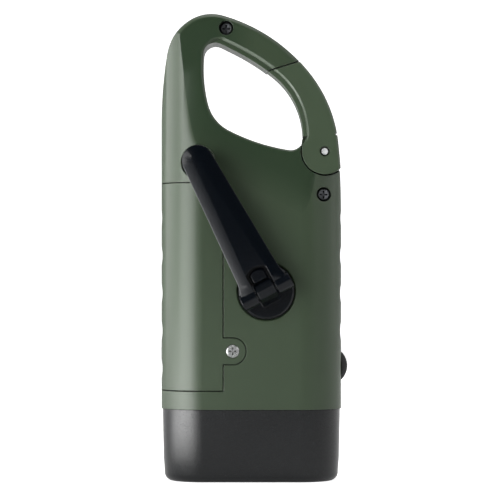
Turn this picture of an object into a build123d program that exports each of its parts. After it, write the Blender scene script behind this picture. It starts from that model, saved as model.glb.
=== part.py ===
from build123d import *
import math
import os

# Hand crank flashlight with a folding crank and a carabiner loop. Millimetres, +Z up,
# standing on its lamp rim. -Y is the crank side, and +X is on the right of that side.
# The origin is in the middle of the lamp rim.

# Housing
WIDTH = 54.8
DEPTH = 32.0
CORNER_R = 13.0
WALL = 2.0
BEZEL_TOP = 22.0
PARTING_Y = -5.0
BACK_Y = -DEPTH / 2
INNER_BACK_Y = BACK_Y + WALL
CAVITY_TOP = 88.5
FIT_GAP = 0.15
COVER_GAP = 0.3

# Loop outline, as points that arcs run through, each tangent to the one before
OUTLINE_START = (WIDTH / 2, 80.0)
OUTLINE_POINTS = [
    (26.2, 102.5),
    (18.35, 122.45),
    (-8.7, 140.9),
    (-18.25, 139.6),
    (-25.55, 128.9),
    (-WIDTH / 2, 106.0),
]
EYE_START = (15.6, 103.8)
EYE_POINTS = [
    (6.4, 122.8),
    (-5.15, 130.15),
    (-9.3, 132.2),
    (-14.4, 129.3),
    (-12.9, 113.5),
    (-6.8, 106.0),
    (11.3, 100.1),
    EYE_START,
]
EYE_EDGE_R = 0.9
EYE_FRONT_EDGE_R = 0.8

# Lip along the inner edge of the nose and the gate: a copy of the eye, moved and sunk
LIP_SHIFT = (1.2, 1.06)
LIP_DROP = 1.0
LIP_STEP = 0.3
LIP_FLARE_RISE = 1.6

# Sloping plate of the loop on the crank side, and the sweep of the other side
PLATE_CREASE = (11.6, 84.2)
PLATE_UPHILL = (0.49, 0.87)
PLATE_SLOPE = math.tan(math.radians(4.5))
SWEEP_LOW_Z = 92.0
SWEEP_HIGH_Z = 113.5
LOOP_FRONT_Y = 3.0
RIM_BACK_Y = -12.0
RIM_EDGE_R = 1.8
RIM_EDGE_LOW_Z = 126.0
EYE_LOW_Z = 99.0

# Carabiner gate
GATE_PIN = (22.1, 99.7)
GATE_PIN_R = 1.0
GATE_PIN_FIT = 0.06
GATE_PIN_WINDOW_R = 1.5
GATE_END_R = 6.9
GATE_GAP = 0.4
GATE_SINK = 0.2
GATE_PIN_FACE_Y = -13.6
GATE_FRONT_Y = -1.2
CHEEK_Y = -0.9
CHEEK_R = 7.85
GATE_SHOULDER_Z = 104.3
NOSE_INNER = (6.8, 124.35)
NOSE_OUTER = (14.5, 126.75)
GATE_BEVEL = 0.6
GATE_NOTCH = (25.55, 105.0)
GATE_NOTCH_R = 0.4

# Grip scallops on both sides
SCALLOP_PITCH = 11.4
SCALLOP_TOP_Z = 79.8
SCALLOP_COUNT = 5
SCALLOP_R = 11.5
SCALLOP_DEPTH = 0.4
SCALLOP_TOP_DEPTH = 0.25

# Battery cover and cell
COVER_RIGHT_X = -8.6
COVER_LOW_Z = 27.75
COVER_HIGH_Z = 90.15
TAB = (-5.6, 39.6)
TAB_R = 3.9
TAB_THICK = 1.1
COVER_SCREW_R = 1.95
PARTITION_X = (-9.9, -8.5)
TRAY_Y = (2.6, 4.0)
END_WALL_Z = (26.4, 28.6)
CELL_X = -17.2
CELL_Y = -5.0
CELL_R = 7.0
CELL_Z = (33.5, 82.5)

# Housing screws: centre in X and Z, and the depth in Y of the seat under each head
NOSE_SCREW = (-7.6, 137.0)
SHOULDER_SCREW = (21.8, 86.8)
SCREW_SEATS = {NOSE_SCREW: -8.6, SHOULDER_SCREW: -10.0}
COUNTERBORE_R = 2.2
SCREW_HEAD_R = 1.9
SCREW_HEAD_THICK = 1.4
SCREW_SHANK_R = 0.95
BOSS_R = 4.2

# Crank
HUB = (4.5, 57.6)
ARM_DIRECTION = (-0.4664, 0.8846)
HUB_R = 8.3
HUB_POCKET_R = 8.6
HUB_POCKET_DEPTH = 1.4
HUB_POCKET_BEVEL = 0.4
HUB_PROUD = 1.2
HUB_SHAFT_R = 3.0
SPIGOT_R = 2.4
SPIGOT_FLATS = 3.6
RUNNING_FIT = 0.05
HINGE_HEIGHT = 6.5
BARREL_R = 2.6
BARREL_REACH = 8.1
HINGE_PIN_R = 1.0
LUG_WIDTH = 6.0
LUG_SIDE = [(-4.0, 0.6), (-3.9, 3.4), (-1.4, 8.6), (0.9, 8.8), (2.9, 7.3), (3.3, 0.6)]
LUG_BEVEL = 0.35
ARM_UNDERSIDE = 4.4
ARM_TOP = 8.9
ARM_TIP_U = 43.9
ARM_TIP_R = 4.65
ARM_ROOT_U = 6.5
ARM_ROOT_HALF = 6.6
# Sloped edge of the arm's top: how far it reaches inward, and how far it falls
ARM_BEVEL = (3.0, 0.8)
ARM_LOW_BEVEL = 0.4
# Window and pad at the hinge end: u of the root, of the end of the walls and of the arc
WINDOW_HALF = 3.3
WINDOW_U = (-3.0, 6.9, 8.0)
WINDOW_FLOOR = 5.9
PAD_HALF = 2.4
PAD_U = (3.5, 6.3, 7.3)
PAD_TOP = 7.6
PAD_BEVEL = 0.35
KNOB_R = 4.1
KNOB_EDGE_R = 0.9
KNOB_FACE = 0.5
KNOB_SHOULDER = 4.1
KNOB_STEM_R = 3.2
KNOB_STEM_TOP = 6.4
KNOB_CUP_R = 3.4
KNOB_HOLE_R = 2.0
KNOB_SEAT = 2.0
KNOB_HEAD_THICK = 1.2
KNOB_SCREW_R = 1.0
KNOB_SCREW_END = 8.0
TIP_POCKET_R = 5.2
TIP_POCKET_Y = -12.9

# Gear train: module, pressure angle and teeth
MODULE = 0.5
PRESSURE_DEG = 25.0
ADDENDUM = 0.85
DEDENDUM = 1.1
TOOTH_THINNING = 0.06
DRIVE_TEETH = 44
PINION_TEETH = 12
WHEEL_ONE_TEETH = 38
WHEEL_TWO_TEETH = 26
ROTOR_TEETH = 10
IDLER_ONE_BEARING = 73.38
IDLER_TWO_BEARING = -50.19
ROTOR_BEARING = -116.28
GEAR_THICK = 1.5
PINION_EXTRA = 0.2
DRIVE_Y = -12.4
LAYER_TWO_Y = -10.6
LAYER_THREE_Y = -8.8
AXLE_R = 0.75
AXLE_BORE_R = 0.8
PLATE_Y = (-6.6, -5.4)
POSTS = [(-4.6, 80.0), (21.5, 75.0), (21.4, 44.4), (-4.4, 45.5)]
POST_R = 2.2

# Generator
CAN_R = 10.0
CAN_WALL = 0.6
CAN_FRONT_Y = 2.6
MAGNET_R = 5.8

# Boards, switch and button
BOARD_Y = (4.0, 5.6)
BOARD_STANDS = [(-4.5, 33.5), (10.0, 33.5), (-4.5, 78.0), (20.0, 76.0)]
BUTTON_Z = 34.8
BUTTON_R = 4.2
BUTTON_PROUD = 2.0
BUTTON_DOME = 1.7
BUTTON_FLANGE_R = 4.9
BUTTON_FLANGE_THICK = 0.9
BUTTON_STEM_R = 1.8
BUTTON_STEM_X = 22.9

# Lamp
BEZEL_SECTIONS = [(0.0, (52.5, 29.7, 12.0)), (7.4, (53.5, 30.7, 12.35)), (BEZEL_TOP, (54.1, 31.3, 12.65))]
BEZEL_EDGE_R = 2.5
LENS_OPENING = (45.6, 22.8, 9.0)
LENS_OUTLINE = (47.8, 25.0, 9.9)
BEZEL_BORE = (48.0, 25.2, 10.0)
LENS_Z = (1.4, 3.0)
GASKET_TOP = 3.8
REFLECTOR_TOP = 16.4
LED_BOARD_Z = (16.6, 18.2)
CUP_PITCH = 16.0
CUP_R = 7.0
CUP_STEPS = [(0.0, CUP_R), (0.35, 6.1), (0.7, 4.7), (1.0, 2.9)]
LED_R = 2.5

FAR = 200.0
ON_BASE = (Align.CENTER, Align.CENTER, Align.MIN)


def across(profile, y_low, y_high):
    """A prism of an X-Z profile between two depths."""
    return Pos(0, y_high, 0) * extrude(Plane.XZ * profile, y_high - y_low)


def sideways(profile, x_low, x_high):
    """A prism of a Y-Z profile between two places along X."""
    return Pos(x_low, 0, 0) * extrude(Plane.YZ * profile, x_high - x_low)


def upright(profile, z_low, z_high):
    """A prism of an X-Y profile between two heights."""
    return Pos(0, 0, z_low) * extrude(profile, z_high - z_low)


def rod(centre, radius, y_low, y_high):
    """A cylinder along Y, round a centre given in X and Z."""
    return across(Pos(*centre) * Circle(radius), y_low, y_high)


def block(x_span, y_span, z_span):
    """A box from its spans along X, Y and Z."""
    size = [high - low for low, high in (x_span, y_span, z_span)]
    middle = [(high + low) / 2 for low, high in (x_span, y_span, z_span)]
    return Pos(*middle) * Box(*size)


def oval(inset=0.0):
    """The housing's cross-section, drawn in by an inset."""
    return RectangleRounded(WIDTH - 2 * inset, DEPTH - 2 * inset, CORNER_R - inset)


def arc_chain(start, heading, points):
    """Arcs from start through the points, each tangent to the one before."""
    arcs = []
    for point in points:
        arc = TangentArc(start, point, tangent=heading)
        arcs.append(arc)
        heading = arc % 1
        start = point
    return arcs


def polar(centre, distance, bearing):
    """A point in X and Z at a distance and bearing, in degrees from +X, from a centre."""
    angle = math.radians(bearing)
    return (centre[0] + distance * math.cos(angle), centre[1] + distance * math.sin(angle))


IDLER_ONE = polar(HUB, MODULE * (DRIVE_TEETH + PINION_TEETH) / 2, IDLER_ONE_BEARING)
IDLER_TWO = polar(IDLER_ONE, MODULE * (WHEEL_ONE_TEETH + PINION_TEETH) / 2, IDLER_TWO_BEARING)
ROTOR = polar(IDLER_TWO, MODULE * (WHEEL_TWO_TEETH + ROTOR_TEETH) / 2, ROTOR_BEARING)

CRANK_TIP = (HUB[0] + ARM_TIP_U * ARM_DIRECTION[0], HUB[1] + ARM_TIP_U * ARM_DIRECTION[1])

# The crank's own plane: u along the folded arm, height measured out of the back face
CRANK = Plane(
    origin=(HUB[0], BACK_Y, HUB[1]),
    x_dir=(ARM_DIRECTION[0], 0, ARM_DIRECTION[1]),
    z_dir=(0, -1, 0),
)
HINGE = Plane(origin=CRANK.from_local_coords((0, 0, HINGE_HEIGHT)), x_dir=CRANK.x_dir, z_dir=CRANK.y_dir)

# Plane of the lug's side view: u to the right, height up
HINGE_SIDE = Plane(origin=CRANK.origin, x_dir=CRANK.x_dir, z_dir=CRANK.x_dir.cross(CRANK.z_dir))


# ---- Housing ----


def outline():
    """The whole body seen from the crank side, with no eye."""
    arcs = arc_chain(OUTLINE_START, (0, 1), OUTLINE_POINTS)
    half = WIDTH / 2
    sides = Polyline(OUTLINE_POINTS[-1], (-half, BEZEL_TOP), (half, BEZEL_TOP), OUTLINE_START)
    return make_face(Curve(arcs) + sides)


def eye():
    """The opening of the loop, gate side included."""
    return make_face(Curve(arc_chain(EYE_START, (0, 1), EYE_POINTS)))


def plate_plane(drop=0.0):
    """Plane of the loop's sloping plate on the crank side, moved inward by a drop."""
    outward = (PLATE_SLOPE * PLATE_UPHILL[0], -1, PLATE_SLOPE * PLATE_UPHILL[1])
    across_slope = (1, PLATE_SLOPE * PLATE_UPHILL[0], 0)
    origin = (PLATE_CREASE[0], BACK_Y + drop, PLATE_CREASE[1])
    return Plane(origin=origin, x_dir=across_slope, z_dir=outward)


def plate_cutter(drop=0.0):
    """Everything outside the sloping plate, moved inward by a drop."""
    return plate_plane(drop) * Pos(0, 0, FAR / 2) * Box(FAR, FAR, FAR)


def front_cutter():
    """Everything outside the swept front of the loop."""
    front = DEPTH / 2
    middle = ((front + LOOP_FRONT_Y) / 2, (SWEEP_LOW_Z + SWEEP_HIGH_Z) / 2)
    sweep = arc_chain((front, SWEEP_LOW_Z), (0, 1), [middle, (LOOP_FRONT_Y, SWEEP_HIGH_Z)])
    rest = Polyline(
        (LOOP_FRONT_Y, SWEEP_HIGH_Z),
        (LOOP_FRONT_Y, FAR),
        (FAR, FAR),
        (FAR, SWEEP_LOW_Z),
        (front, SWEEP_LOW_Z),
    )
    return sideways(make_face(Curve(sweep) + rest), -WIDTH, WIDTH)


def scallops():
    """Shallow finger grooves down both sides."""
    cutters = []
    for side in (-1, 1):
        for index in range(SCALLOP_COUNT):
            z = SCALLOP_TOP_Z - index * SCALLOP_PITCH
            under_button = side == 1 and abs(z - BUTTON_Z) < BUTTON_R
            if under_button:
                continue
            depth = SCALLOP_TOP_DEPTH if index == 0 else SCALLOP_DEPTH
            x = side * (WIDTH / 2 + SCALLOP_R - depth)
            cutters.append(rod((x, z), SCALLOP_R, -DEPTH, DEPTH))
    return Compound(cutters)


def whole_body():
    """Outer form of the housing: rounded body, loop, eye and grooves, all solid."""
    body = across(outline(), BACK_Y, DEPTH / 2) & upright(oval(), BEZEL_TOP, FAR)
    body -= plate_cutter()
    body -= front_cutter()
    body -= scallops()
    body -= across(eye(), -DEPTH, DEPTH)
    mouth = mouth_edges(body, eye(), EYE_LOW_Z, (LOOP_FRONT_Y - 0.05, FAR))
    return fillet([edge for edge in mouth if edge.geom_type != GeomType.LINE], EYE_FRONT_EDGE_R)


def mouth_edges(shape, profile, low_z, y_span):
    """Edges that follow a profile, above a height and between two depths."""
    boundary = (Plane.XZ * profile).faces()[0].outer_wire()
    found = []
    for edge in shape.edges():
        middle = edge @ 0.5
        in_reach = middle.Z > low_z and y_span[0] < middle.Y < y_span[1]
        if in_reach and boundary.distance_to(Vertex(middle.X, 0, middle.Z)) < 0.02:
            found.append(edge)
    return found


def lip_cutter():
    """Room over the sunk lip: the moved eye, with a low step and a bevel above it."""
    shift = (LIP_SHIFT[0] - PLATE_CREASE[0], LIP_SHIFT[1] - PLATE_CREASE[1])
    plan = Pos(*shift) * eye()
    step = plate_plane(LIP_DROP) * extrude(plan, LIP_STEP)
    bevel = plate_plane(LIP_DROP - LIP_STEP) * extrude(plan, LIP_FLARE_RISE, taper=-45)
    return step + bevel


def gate_half_plane(start, end, side):
    """A wide face on one side of the line from start to end."""
    angle = math.degrees(math.atan2(end[1] - start[1], end[0] - start[0]))
    face = Rectangle(FAR, FAR, align=(Align.CENTER, Align.MAX if side < 0 else Align.MIN))
    return Pos(*start) * Rot(0, 0, angle) * face


def round_edges(shape, radius, y):
    """Round edges of a given radius at a given depth."""
    rings = shape.edges().filter_by(GeomType.CIRCLE)
    return [edge for edge in rings if abs(edge.radius - radius) < 0.01 and abs((edge @ 0.5).Y - y) < 0.01]


def gate_zone(grow):
    """The gate's share of the plan, from the nose joint to its round end."""
    below_nose = gate_half_plane(NOSE_INNER, NOSE_OUTER, -1)
    above_end = Pos(0, GATE_SHOULDER_Z - grow) * Rectangle(FAR, FAR, align=(Align.CENTER, Align.MIN))
    right = gate_half_plane((-15.0, 133.0), EYE_START, 1)
    branch = Pos(*nose_shift(grow)) * below_nose & above_end & right
    return branch + Pos(*GATE_PIN) * Circle(GATE_END_R + grow)


def nose_shift(grow):
    """Offset of the nose joint, square to it, by a gap."""
    length = math.dist(NOSE_INNER, NOSE_OUTER)
    run = (NOSE_OUTER[0] - NOSE_INNER[0]) / length
    rise = (NOSE_OUTER[1] - NOSE_INNER[1]) / length
    return (-rise * grow, run * grow)


def gate_cutter():
    """Room for the gate, closed in front of its round end by the cheek."""
    opening = across(gate_zone(GATE_GAP), -DEPTH, DEPTH)
    cheek = rod(GATE_PIN, CHEEK_R, CHEEK_Y, DEPTH)
    horn = block((14.6, 17.0), (-DEPTH, CHEEK_Y), (101.4, GATE_SHOULDER_Z))
    return opening - cheek + horn


def cavity():
    """The hollow of the housing."""
    return upright(oval(WALL), BEZEL_TOP - 1, CAVITY_TOP)


def screw_boss():
    """Solid column round the shoulder screw, through the whole depth."""
    return rod(SHOULDER_SCREW, BOSS_R, BACK_Y + 1, DEPTH / 2 - 1)


def tray(y_low, y_high):
    """Walls of the battery compartment between two depths."""
    wall = block(PARTITION_X, (y_low, y_high), (END_WALL_Z[0], CAVITY_TOP))
    end = block((-WIDTH / 2 + 1, PARTITION_X[1]), (y_low, y_high), END_WALL_Z)
    return (wall + end) & upright(oval(WALL - 0.5), BEZEL_TOP, FAR)


def cover_space(gap):
    """The part of the rear wall that the battery cover takes, grown by a gap."""
    span = block(
        (-WIDTH, COVER_RIGHT_X + gap),
        (-DEPTH, PARTING_Y + 0.01),
        (COVER_LOW_Z - gap, COVER_HIGH_Z + gap),
    )
    span -= upright(oval(WALL + gap), 0, FAR)
    tab_plan = Pos(*TAB) * Circle(TAB_R + gap)
    bridge = Rectangle(6.0, 2 * (TAB_R + gap), align=(Align.MAX, Align.CENTER))
    tab_plan += Pos(*TAB) * bridge
    return span + across(tab_plan, -DEPTH, BACK_Y + TAB_THICK + gap / 2)


def rear_shell(body):
    """Crank-side half of the housing, with its bosses, posts and pockets."""
    half = body & block((-FAR, FAR), (-FAR, PARTING_Y), (0, FAR))
    half -= gate_cutter()
    half = fillet(mouth_edges(half, eye(), EYE_LOW_Z, (-FAR, RIM_BACK_Y)), EYE_EDGE_R)
    half -= lip_cutter()
    half = fillet(mouth_edges(half, outline(), RIM_EDGE_LOW_Z, (-FAR, RIM_BACK_Y)), RIM_EDGE_R)
    shell = half - cavity()
    shell += screw_boss() & half
    shell += tray(INNER_BACK_Y - 0.5, PARTING_Y)
    shell += rod(HUB, HUB_POCKET_R + 1.2, INNER_BACK_Y - 0.5, DRIVE_Y - 0.2)
    for place in (IDLER_ONE, IDLER_TWO):
        shell += rod(place, AXLE_R + 1.0, INNER_BACK_Y - 0.5, DRIVE_Y - 0.2)
    for place in POSTS:
        shell += rod(place, POST_R, INNER_BACK_Y - 0.5, PLATE_Y[0]) & half
    shell += rod(TAB, 2.4, INNER_BACK_Y - 0.5, -9.5)
    shell -= cover_space(COVER_GAP)
    shell -= rod(HUB, HUB_POCKET_R, -DEPTH, BACK_Y + HUB_POCKET_DEPTH)
    shell = chamfer(round_edges(shell, HUB_POCKET_R, BACK_Y), HUB_POCKET_BEVEL)
    shell -= rod(HUB, HUB_SHAFT_R + RUNNING_FIT, -DEPTH, PARTING_Y)
    for place in (IDLER_ONE, IDLER_TWO):
        shell -= rod(place, AXLE_R, BACK_Y + 1.0, PARTING_Y)
    for place in POSTS:
        shell -= rod(place, 0.8, PLATE_Y[0] - 4.0, PARTING_Y)
    shell -= rod(TAB, 0.9, -DEPTH, -10.0)
    shell -= rod(CRANK_TIP, TIP_POCKET_R, -DEPTH, TIP_POCKET_Y)
    for place, seat_y in SCREW_SEATS.items():
        shell -= rod(place, COUNTERBORE_R, -DEPTH, seat_y)
        shell -= rod(place, SCREW_SHANK_R + 0.2, -DEPTH, PARTING_Y)
    return shell


def front_shell(body):
    """Plain half of the housing, with the cheek, the button hole and standoffs."""
    half = body & block((-FAR, FAR), (PARTING_Y, FAR), (0, FAR))
    half -= gate_cutter()
    shell = half - cavity()
    shell += screw_boss() & half
    shell += tray(PARTING_Y, TRAY_Y[1])
    floor = block((-WIDTH / 2 + 1, PARTITION_X[1]), TRAY_Y, (END_WALL_Z[0], CAVITY_TOP))
    shell += floor & upright(oval(WALL - 0.5), BEZEL_TOP, FAR)
    for place in BOARD_STANDS:
        shell += rod(place, 2.2, BOARD_Y[1], DEPTH / 2 - 1)
        shell -= rod(place, 0.8, BOARD_Y[1], BOARD_Y[1] + 5)
    shell -= rod(GATE_PIN, GATE_PIN_R, -DEPTH, LOOP_FRONT_Y - 1.2)
    for place in (NOSE_SCREW, SHOULDER_SCREW):
        shell -= rod(place, SCREW_SHANK_R, PARTING_Y, 1.0)
    hole = Plane.YZ * Pos(0, BUTTON_Z) * Circle(BUTTON_R + FIT_GAP)
    shell -= Pos(WIDTH / 2 - 2 * WALL, 0, 0) * extrude(hole, 4 * WALL)
    return shell


def battery_cover(body):
    """Screwed cover that wraps the left corner, with its screw tab."""
    cover = body & cover_space(0.0)
    cover -= block((-FAR, FAR), (PARTING_Y - FIT_GAP, FAR), (0, FAR))
    cover -= rod(CRANK_TIP, TIP_POCKET_R, -DEPTH, TIP_POCKET_Y)
    cover -= rod(TAB, COVER_SCREW_R + 0.1, -DEPTH, BACK_Y + 0.5)
    return cover - rod(TAB, 1.1, -DEPTH, 0)


def cover_screw():
    """Bright pan head screw of the battery cover, with a cross recess."""
    head = rod(TAB, COVER_SCREW_R, BACK_Y - 0.3, BACK_Y + 0.5)
    head = chamfer(head.edges().group_by(Axis.Y)[0], 0.35)
    screw = head + rod(TAB, 0.9, BACK_Y + 0.5, -11.0)
    return screw - cross_recess(TAB, BACK_Y - 0.3, 0.7, 2.2, 0.45)


def cross_recess(centre, y_top, depth, length, width):
    """Cross-shaped recess in a screw head that faces -Y."""
    cross = Rectangle(length, width) + Rectangle(width, length)
    return across(Pos(*centre) * cross, y_top - 0.1, y_top + depth)


def housing_screws():
    """The two screws that close the housing, deep in their counterbores."""
    screws = []
    for place, seat_y in SCREW_SEATS.items():
        head_y = seat_y - SCREW_HEAD_THICK
        screw = chamfer(rod(place, SCREW_HEAD_R, head_y, seat_y).edges().group_by(Axis.Y)[0], 0.4)
        screw += rod(place, SCREW_SHANK_R, seat_y, 0.8)
        screws.append(screw - cross_recess(place, head_y, 0.8, 2.4, 0.5))
    return Compound(screws)


# ---- Carabiner gate ----


def carabiner_gate():
    """The hinged gate, with its pin bore, spring pocket and rounded edges."""
    plan = (outline() & gate_zone(0.0)) - eye()
    gate = across(plan, -DEPTH, GATE_FRONT_Y) - plate_cutter(GATE_SINK)
    gate = chamfer(mouth_edges(gate, outline(), GATE_SHOULDER_Z, (-FAR, RIM_BACK_Y)), GATE_BEVEL)
    gate -= lip_cutter()
    gate -= rod(GATE_NOTCH, GATE_NOTCH_R, -DEPTH, DEPTH)
    gate -= rod(GATE_PIN, GATE_PIN_R + GATE_PIN_FIT, -DEPTH, DEPTH)
    gate -= rod(GATE_PIN, GATE_PIN_WINDOW_R, -DEPTH, GATE_PIN_FACE_Y + 0.9)
    return gate - rod(GATE_PIN, 3.2, GATE_FRONT_Y - 2.6, DEPTH)


def gate_pin():
    """Steel pin, pressed into the cheek of the front shell."""
    return rod(GATE_PIN, GATE_PIN_R, GATE_PIN_FACE_Y, LOOP_FRONT_Y - 1.2)


def gate_spring():
    """Torsion spring round the pin, in the pocket of the gate."""
    coil = rod(GATE_PIN, 2.6, GATE_FRONT_Y - 2.2, CHEEK_Y)
    return coil - rod(GATE_PIN, 1.5, -DEPTH, DEPTH)


# ---- Crank ----


def in_crank(profile, low, high):
    """A prism of a profile in the crank's plane between two heights."""
    return CRANK * Pos(0, 0, low) * extrude(profile, high - low)


def crank_hub():
    """Turning disc with the hinge lug and the shaft through the rear wall."""
    disc = in_crank(Circle(HUB_R), -HUB_POCKET_DEPTH + 0.1, HUB_PROUD)
    disc = chamfer(disc.edges().group_by(Axis.Y)[0], 0.5)
    lug = extrude(make_face(Polyline(*LUG_SIDE, close=True)), LUG_WIDTH)
    rims = [edge for edge in lug.edges() if abs((edge @ 0.5).Z - LUG_WIDTH / 2) > LUG_WIDTH / 2 - 0.01]
    lug = chamfer(rims, LUG_BEVEL)
    lug = HINGE_SIDE * Pos(0, 0, -LUG_WIDTH / 2) * lug
    shaft = rod(HUB, HUB_SHAFT_R, BACK_Y + HUB_POCKET_DEPTH - 0.2, DRIVE_Y)
    hub = disc + lug + shaft
    hub += across(Pos(*HUB) * spigot(), DRIVE_Y, DRIVE_Y + GEAR_THICK)
    hub -= rod(HUB, 1.0, -15.0, 0)
    return hub - hinge_rod(HINGE_PIN_R, LUG_WIDTH)


def spigot():
    """Section of the flatted end of the hub's shaft."""
    return Circle(SPIGOT_R) & Rectangle(FAR, SPIGOT_FLATS)


def hinge_rod(radius, length):
    """A cylinder on the hinge axis, centred on the hub."""
    return HINGE * Cylinder(radius, length)


def hinge_pin():
    """Steel pin through the lug and both barrels of the arm."""
    return hinge_rod(HINGE_PIN_R, 2 * BARREL_REACH - 0.6)


def arm_plan():
    """Tapered arm with a round tip and a flare to the hinge barrels."""
    flare = ThreePointArc((ARM_ROOT_U, ARM_ROOT_HALF), (3.4, 7.05), (0.6, BARREL_REACH))
    lines = Polyline(
        (0.6, BARREL_REACH),
        (0, BARREL_REACH),
        (0, 0),
        (ARM_TIP_U + 0.6, 0),
        (ARM_TIP_U + 0.6, ARM_TIP_R - 0.05),
        (ARM_ROOT_U, ARM_ROOT_HALF),
    )
    half = make_face(Curve([flare]) + lines)
    return half + mirror(half, Plane.XZ) + Pos(ARM_TIP_U, 0) * Circle(ARM_TIP_R)


def window_plan(half, root_u, side_u, end_u):
    """Window in the arm's hinge end: straight walls and a shallow arc at the far end."""
    arc = ThreePointArc((side_u, -half), (end_u, 0), (side_u, half))
    walls = Polyline((side_u, half), (root_u, half), (root_u, -half), (side_u, -half))
    return make_face(Curve([arc]) + walls)


def crank_arm():
    """Folding arm: bar with sloped edges, forked hinge end and the cup of the knob."""
    crown_low = ARM_TOP - ARM_BEVEL[1]
    taper = math.degrees(math.atan2(*ARM_BEVEL))
    arm = in_crank(arm_plan(), ARM_UNDERSIDE, crown_low)
    arm = chamfer(arm.edges().group_by(Axis.Y)[-1], ARM_LOW_BEVEL)
    arm += CRANK * Pos(0, 0, crown_low) * extrude(arm_plan(), ARM_BEVEL[1], taper=taper)
    arm += hinge_rod(BARREL_R, 2 * BARREL_REACH)
    arm -= in_crank(window_plan(WINDOW_HALF, *WINDOW_U), WINDOW_FLOOR, 2 * ARM_TOP)
    gap_length = PAD_U[0] - WINDOW_U[0]
    gap = Rectangle(gap_length, 2 * WINDOW_HALF, align=(Align.MIN, Align.CENTER))
    arm -= in_crank(Pos(WINDOW_U[0], 0) * gap, 0, 2 * ARM_TOP)
    pad = in_crank(window_plan(PAD_HALF, *PAD_U), WINDOW_FLOOR - 0.5, PAD_TOP)
    arm += chamfer(pad.edges().group_by(Axis.Y)[0], PAD_BEVEL)
    arm -= in_crank(Pos(ARM_TIP_U, 0) * Circle(KNOB_CUP_R), 0, KNOB_STEM_TOP + 0.2)
    arm -= in_crank(Pos(ARM_TIP_U, 0) * Circle(KNOB_SCREW_R), 0, KNOB_SCREW_END + 0.1)
    return arm - hinge_rod(HINGE_PIN_R + RUNNING_FIT, FAR)


def crank_knob():
    """Turning knob, its stem sunk in the cup of the arm."""
    place = Pos(ARM_TIP_U, 0)
    knob = in_crank(place * Circle(KNOB_R), KNOB_FACE, KNOB_SHOULDER)
    knob = fillet(knob.edges().group_by(Axis.Y)[-1], KNOB_EDGE_R)
    knob += in_crank(place * Circle(KNOB_STEM_R), KNOB_SHOULDER, KNOB_STEM_TOP)
    knob -= in_crank(place * Circle(KNOB_HOLE_R), 0, KNOB_SEAT + 0.1)
    return knob - in_crank(place * Circle(KNOB_SCREW_R + RUNNING_FIT), 0, FAR)


def knob_screw():
    """Shouldered screw that the knob turns on."""
    place = Pos(ARM_TIP_U, 0)
    head_low = KNOB_SEAT - KNOB_HEAD_THICK
    screw = in_crank(place * Circle(KNOB_HOLE_R - FIT_GAP), head_low, KNOB_SEAT)
    screw += in_crank(place * Circle(KNOB_SCREW_R), KNOB_SEAT, KNOB_SCREW_END)
    cross = Rectangle(2.0, 0.45) + Rectangle(0.45, 2.0)
    return screw - in_crank(place * cross, 0, head_low + 0.6)


def hub_screw():
    """Screw and washer face that hold the drive gear on the hub."""
    back = DRIVE_Y + GEAR_THICK
    return rod(HUB, 2.8, back, back + 0.8) + rod(HUB, 1.0, -14.8, back)


# ---- Gear train ----


def involute_point(base_r, radius, offset):
    """Polar angle and radius of an involute flank point, as X and Y."""
    ratio = min(1.0, base_r / radius)
    roll = math.acos(ratio)
    angle = math.tan(roll) - roll
    return (radius * math.cos(offset + angle), radius * math.sin(offset + angle))


def gear_profile(teeth, bearing):
    """Involute gear with a tooth centred on a bearing, in degrees from +X."""
    pitch_r = MODULE * teeth / 2
    base_r = pitch_r * math.cos(math.radians(PRESSURE_DEG))
    tip_r = pitch_r + ADDENDUM * MODULE
    root_r = pitch_r - DEDENDUM * MODULE
    start_r = max(base_r, root_r)
    half_tooth = math.pi / (2 * teeth) - TOOTH_THINNING / (2 * pitch_r)
    inv_pitch = math.tan(math.radians(PRESSURE_DEG)) - math.radians(PRESSURE_DEG)
    offset = -half_tooth - inv_pitch
    radii = [start_r, (start_r + tip_r) / 2, tip_r]
    low = [involute_point(base_r, radius, offset) for radius in radii]
    high = [(x, -y) for x, y in reversed(low)]
    foot = (root_r * math.cos(offset), root_r * math.sin(offset))
    edges = [ThreePointArc(*low), Line(low[-1], high[0]), ThreePointArc(*high)]
    if start_r > root_r:
        edges = [Line(foot, low[0])] + edges + [Line(high[-1], (foot[0], -foot[1]))]
    tooth = make_face(Curve(edges) + Polyline(edges[-1] @ 1, (0, 0), edges[0] @ 0))
    turn = 360 / teeth
    ring = [Rot(0, 0, bearing + index * turn) * tooth for index in range(teeth)]
    return Circle(root_r) + ring


def drive_gear():
    """Large gear on the crank's hub, with a flatted bore and lightening holes."""
    profile = gear_profile(DRIVE_TEETH, IDLER_ONE_BEARING)
    profile -= spigot()
    profile -= PolarLocations(6.6, 6) * Circle(1.9)
    return across(Pos(*HUB) * profile, DRIVE_Y, DRIVE_Y + GEAR_THICK)


def compound_gear(place, pinion_y, wheel_y, wheel_teeth, from_bearing, to_bearing):
    """A pinion and a wheel moulded together on a sleeve."""
    gap_bearing = from_bearing + 180 + 180 / PINION_TEETH
    pinion = Pos(*place) * gear_profile(PINION_TEETH, gap_bearing)
    wheel = Pos(*place) * gear_profile(wheel_teeth, to_bearing)
    gear = across(pinion, pinion_y - PINION_EXTRA, wheel_y)
    gear += across(wheel, wheel_y, wheel_y + GEAR_THICK)
    gear += rod(place, 1.7, wheel_y, PLATE_Y[0] - 0.2)
    return gear - rod(place, AXLE_BORE_R, -DEPTH, DEPTH)


def idler_one():
    """First step-up gear, driven by the drive gear."""
    return compound_gear(
        IDLER_ONE, DRIVE_Y, LAYER_TWO_Y, WHEEL_ONE_TEETH, IDLER_ONE_BEARING, IDLER_TWO_BEARING
    )


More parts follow.
